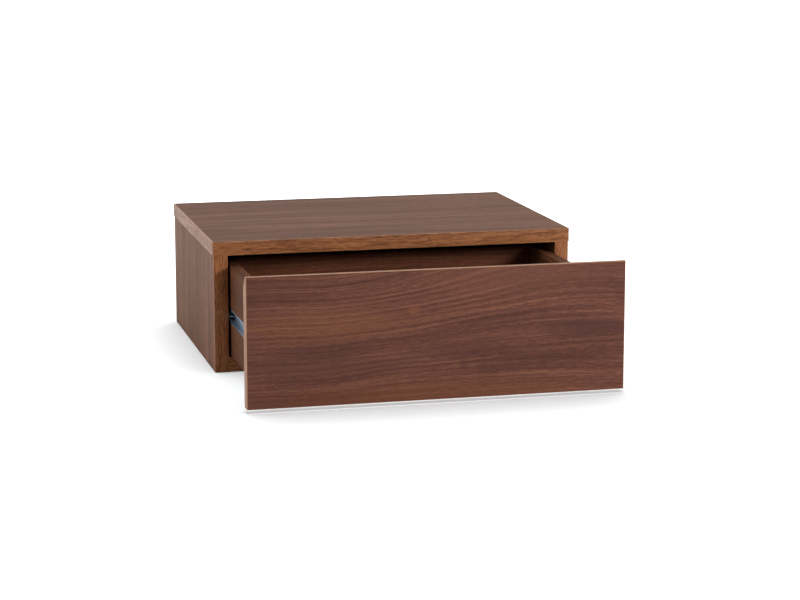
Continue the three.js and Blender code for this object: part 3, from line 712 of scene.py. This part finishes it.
def dress_metal(nodes, group):
    """Dresses the slides and the dowels, and returns the slides' zinc."""
    zinc = steel_material("zinc_steel", ZINC_STEEL)
    cage = steel_material("cage_steel", CAGE_STEEL)
    plastic, beech = plastic_material(), beech_material()
    for name, obj in nodes.items():
        if name.endswith(("_rail", "_channel")):
            paint(obj, zinc)
        elif name.endswith("_cage"):
            paint(obj, cage)
        elif name.endswith("_stop"):
            paint(obj, plastic)
        elif "_dowel_" in name:
            paint(obj, beech)
        else:
            continue
        soften(obj, group)
    return zinc


def cross_outline(reach, half):
    """The twelve corners of a cross, in turning order."""
    arm = (Vector((reach, -half)), Vector((reach, half)), Vector((half, half)))
    return [Matrix.Rotation(quarter * math.pi / 2, 2) @ corner for quarter in range(4) for corner in arm]


def thread_radius(turn, depth, length):
    """The thread's radius at a turn (in whole turns) and a depth below the head, its point at length."""
    phase = (turn + depth / THREAD_PITCH) % 1.0
    flank = max(0.0, 1.0 - THREAD_FLANK * abs(phase - 0.5))
    point = min(1.0, (length - depth) / SCREW_POINT)
    return (THREAD_ROOT + (SCREW_RADIUS - THREAD_ROOT) * flank) * max(point, BLUNT_POINT)


def screw_rings(head, length):
    """The screw's outside from the top of its head to its point, as rings of (radius, height)."""
    rings = [[(radius, height)] * SCREW_SIDES for radius, height in head]
    start = -head[-1][1]
    steps = math.ceil((length - start) / THREAD_PITCH * THREAD_STEPS)
    for step in range(1, steps + 1):
        depth = start + (length - start) * step / steps
        rings.append([(thread_radius(i / SCREW_SIDES, depth, length), -depth) for i in range(SCREW_SIDES)])
    return rings


def screw_mesh(name, head, length, seat, lie):
    """A cross-recessed screw with a cut thread, its head facing +Z before it is turned to lie."""
    mesh = bmesh.new()

    def vert(x, y, z):
        return mesh.verts.new(seat + lie @ Vector((x, y, z)) * MM)

    rings = []
    for ring in screw_rings(head, length):
        angles = (2 * math.pi * i / SCREW_SIDES for i in range(SCREW_SIDES))
        rings.append([vert(r * math.cos(a), r * math.sin(a), z) for a, (r, z) in zip(angles, ring)])
    top = head[0][1]
    recess = []
    for depth, reach, half in CROSS_LEVELS:
        recess.append([vert(x, y, top - depth) for x, y in cross_outline(reach, half)])
    for upper, lower in (*zip(rings, rings[1:]), *zip(recess[1:], recess)):
        for i in range(len(upper)):
            mesh.faces.new((upper[i - 1], lower[i - 1], lower[i], upper[i]))
    share = SCREW_SIDES // CROSS_CORNERS
    for i in range(CROSS_CORNERS):
        first = share * i - share // 2
        arc = [rings[0][j % SCREW_SIDES] for j in range(first, first + share + 1)]
        mesh.faces.new((*arc, recess[0][(i + 1) % CROSS_CORNERS], recess[0][i]))
    bottom = vert(0, 0, top - CROSS_DEPTH)
    for i in range(CROSS_CORNERS):
        mesh.faces.new((recess[-1][i - 1], recess[-1][i], bottom))
    mesh.faces.new(reversed(rings[-1]))
    return mesh_data(name, mesh)


def mesh_data(name, mesh):
    """The built mesh as Blender data."""
    data = bpy.data.meshes.new(name)
    mesh.to_mesh(data)
    mesh.free()
    return data


def add_piece(name, data, material, group, body):
    piece = bpy.data.objects.new(name, data)
    bpy.context.scene.collection.objects.link(piece)
    paint(piece, material)
    soften(piece, group)
    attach(piece, body)


def add_screw(node, head, towards, body, turn, material, group):
    """A cut screw in place of the plain one. towards is the way its head faces."""
    low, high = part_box(node)
    centre, overall = (low + high) / 2, max(high - low)
    top = head[0][1]
    seat = centre + towards * (overall / 2 - top * MM)
    lie = towards.to_track_quat("Z", "Y").to_matrix() @ Matrix.Rotation(turn, 3, "Z")
    name = node + ".cut"
    data = screw_mesh(name, head, overall / MM - top, seat, lie)
    add_piece(name, data, material, group, body)
    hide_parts(node)


def add_screws(nodes, group):
    material = steel_material("screw_steel", SCREW_STEEL)
    for index, node in enumerate(sorted(name for name in nodes if "_screw_" in name)):
        outward = Vector((math.copysign(1.0, sum(c.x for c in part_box(node))), 0, 0))
        if "_rail_" in node:
            head, towards, body = PAN_HEAD, -outward, "case"
        elif "_channel_" in node:
            head, towards, body = FLAT_HEAD, outward, "drawer"
        else:
            head, towards, body = FLAT_HEAD, Vector((0, 0, -1)), "drawer"
        add_screw(node, head, towards, body, SCREW_TURN * index, material, group)


def add_stop_tongues(material, group):
    """The end of each rail's tongue, in the slot of its stop."""
    for node in ("left_rail_stop", "right_rail_stop"):
        low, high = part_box(node)
        middle = (low + high) / 2
        size = Vector((high.x - low.x - TONGUE_INSET * MM, TONGUE_DEPTH * MM, TONGUE_SHEET * MM))
        place = Vector((middle.x, low.y + (TONGUE_SEAT - TONGUE_DEPTH / 2) * MM, middle.z))
        mesh = bmesh.new()
        bmesh.ops.create_cube(mesh, size=1.0)
        bmesh.ops.transform(mesh, matrix=Matrix.LocRotScale(place, None, size), verts=mesh.verts)
        bmesh.ops.bevel(mesh, geom=mesh.edges[:], offset=TONGUE_ROUND * MM, segments=2, affect="EDGES")
        name = node + ".tongue"
        add_piece(name, mesh_data(name, mesh), material, group, "case")


def slit_share(graph, point, axis):
    """1 under the open drawer's front, where a painted glow stands for the light that reaches in below it,
    on one axis.
    """
    low, high = extents(FRONT_FOOT)[AXES[axis]]
    (start, full), (end, last) = SLIT_FADES[axis]
    edges = (low + start, low + full, high - last, high - end)
    start, full, last, end = (edge * MM - LAMP_AIM[axis] for edge in edges)
    place = graph.node("ShaderNodeSeparateXYZ", {0: point}).outputs[axis]
    return graph.times(graph.span(place, start, full), graph.span(place, last, end, 1.0, 0.0))


def floor_material():
    """A white floor that shows shadows to the camera and in reflections, with a painted glow under the open
    drawer front, and sends little light up. From below it can't be seen."""
    graph = Graph("floor")
    ray = graph.node("ShaderNodeLightPath").outputs
    camera = ray["Is Camera Ray"]
    seen = graph.largest((camera, ray["Is Glossy Ray"], ray["Is Transmission Ray"]))
    plain = graph.node("ShaderNodeBsdfDiffuse", {"Color": (FLOOR_BOUNCE,) * 3 + (1.0,)}).outputs[0]
    share = graph.span(camera, 0.0, 1.0, FLOOR_MIRRORED, FLOOR_SEEN)
    white = graph.vector(*(graph.times(share, tint) for tint in FLOOR_TINT))
    shaded = graph.node("ShaderNodeBsdfDiffuse", {"Color": white}).outputs[0]
    point = graph.node("ShaderNodeTexCoord").outputs["Object"]
    away = graph.node("ShaderNodeVectorMath", {0: point}, operation="LENGTH").outputs["Value"]
    slit = graph.times(slit_share(graph, point, 0), slit_share(graph, point, 1))
    # The slit term is painted light: a glow under the open drawer front.
    strength = graph.add(graph.span(away, FLOOR_NEAR, FLOOR_FAR), graph.times(slit, SLIT_PAINTED_GLOW))
    glow = graph.node("ShaderNodeEmission", {"Strength": strength}).outputs[0]
    shown = graph.node("ShaderNodeAddShader", {0: shaded, 1: glow}).outputs[0]
    above = graph.node("ShaderNodeMixShader", {0: seen, 1: plain, 2: shown}).outputs[0]
    below = graph.node("ShaderNodeBsdfTransparent").outputs[0]
    back = graph.node("ShaderNodeNewGeometry").outputs["Backfacing"]
    both = graph.node("ShaderNodeMixShader", {0: back, 1: above, 2: below}).outputs[0]
    graph.node("ShaderNodeOutputMaterial", {"Surface": both})
    return graph.material


def add_floor(lowest):
    mesh = bpy.data.meshes.new("floor")
    half = FLOOR_SIDE / 2
    corners = [(-half, -half, 0), (half, -half, 0), (half, half, 0), (-half, half, 0)]
    mesh.from_pydata(corners, [], [(0, 1, 2, 3)])
    floor = bpy.data.objects.new("floor", mesh)
    floor.location = (LAMP_AIM[0], LAMP_AIM[1], lowest - FLOOR_GAP)
    bpy.context.scene.collection.objects.link(floor)
    paint(floor, floor_material())
    return floor


def add_world():
    """White where the camera or a reflection sees it, and an even soft light on the object."""
    world = bpy.data.worlds.new("studio")
    bpy.context.scene.world = world
    world.use_nodes = True
    nodes, links = world.node_tree.nodes, world.node_tree.links
    nodes.clear()
    ray = nodes.new("ShaderNodeLightPath")
    glossy, through, level = (nodes.new("ShaderNodeMath") for _ in range(3))
    glossy.operation = through.operation = "MAXIMUM"
    level.operation = "MULTIPLY_ADD"
    level.inputs[1].default_value = 1.0 - AMBIENT
    level.inputs[2].default_value = AMBIENT
    light, end = nodes.new("ShaderNodeBackground"), nodes.new("ShaderNodeOutputWorld")
    light.inputs["Color"].default_value = (1, 1, 1, 1)
    links.new(ray.outputs["Is Camera Ray"], glossy.inputs[0])
    links.new(ray.outputs["Is Glossy Ray"], glossy.inputs[1])
    links.new(glossy.outputs[0], through.inputs[0])
    links.new(ray.outputs["Is Transmission Ray"], through.inputs[1])
    links.new(through.outputs[0], level.inputs[0])
    links.new(level.outputs[0], light.inputs["Strength"])
    links.new(light.outputs[0], end.inputs[0])


def add_lamp(name, look):
    """A soft box that faces LAMP_AIM."""
    turn, rise = math.radians(look.turn), math.radians(look.rise)
    towards = Vector((math.sin(turn) * math.cos(rise), -math.cos(turn) * math.cos(rise), math.sin(rise)))
    data = bpy.data.lights.new(name, "AREA")
    data.shape = "RECTANGLE"
    data.size, data.size_y = look.width, look.height
    data.energy = look.strength * math.pi**2 * look.distance**2
    lamp = bpy.data.objects.new(name, data)
    lamp.location = Vector(LAMP_AIM) + towards * look.distance
    lamp.rotation_euler = towards.to_track_quat("Z", "Y").to_euler()
    bpy.context.scene.collection.objects.link(lamp)
    return lamp


def linked(name, objects, state):
    """A collection for light linking: the objects alone (INCLUDE), or everything but them (EXCLUDE)."""
    group = bpy.data.collections.new(name)
    for index, obj in enumerate(objects):
        group.objects.link(obj)
        group.collection_objects[index].light_linking.link_state = state
    return group


def add_lamps(floor, drawer_box):
    lamps = {name: add_lamp(name, look) for name, look in LAMPS.items()}
    for name, state in FLOOR_LINKS.items():
        lamps[name].light_linking.receiver_collection = linked(name + "_lit", [floor], state)
    wash = lamps["floor_wash"]
    wash.light_linking.blocker_collection = linked("floor_wash_passes", drawer_box, "EXCLUDE")
    wash.visible_camera = wash.visible_glossy = False


def add_camera():
    data = bpy.data.cameras.new("camera")
    data.sensor_width = SENSOR_WIDTH
    data.lens = CAMERA_LENS
    camera = bpy.data.objects.new("camera", data)
    camera.location = CAMERA_PLACE
    camera.rotation_euler = (math.pi / 2 + CAMERA_PITCH, 0, CAMERA_YAW)
    bpy.context.scene.collection.objects.link(camera)
    bpy.context.scene.camera = camera


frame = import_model()
cad_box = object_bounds()
nodes = frame["nodes"]
bpy.context.scene.view_settings.view_transform = "Standard"
add_camera()
floor = add_floor(cad_box[0].z)
add_world()
add_lamps(floor, [nodes[name] for name in DRAWER_BOX])

smooth = smooth_group()
dress_case(nodes)
dress_bands(nodes, smooth)
dress_drawer(nodes, smooth)
zinc = dress_metal(nodes, smooth)
add_screws(nodes, smooth)
add_stop_tongues(zinc, smooth)
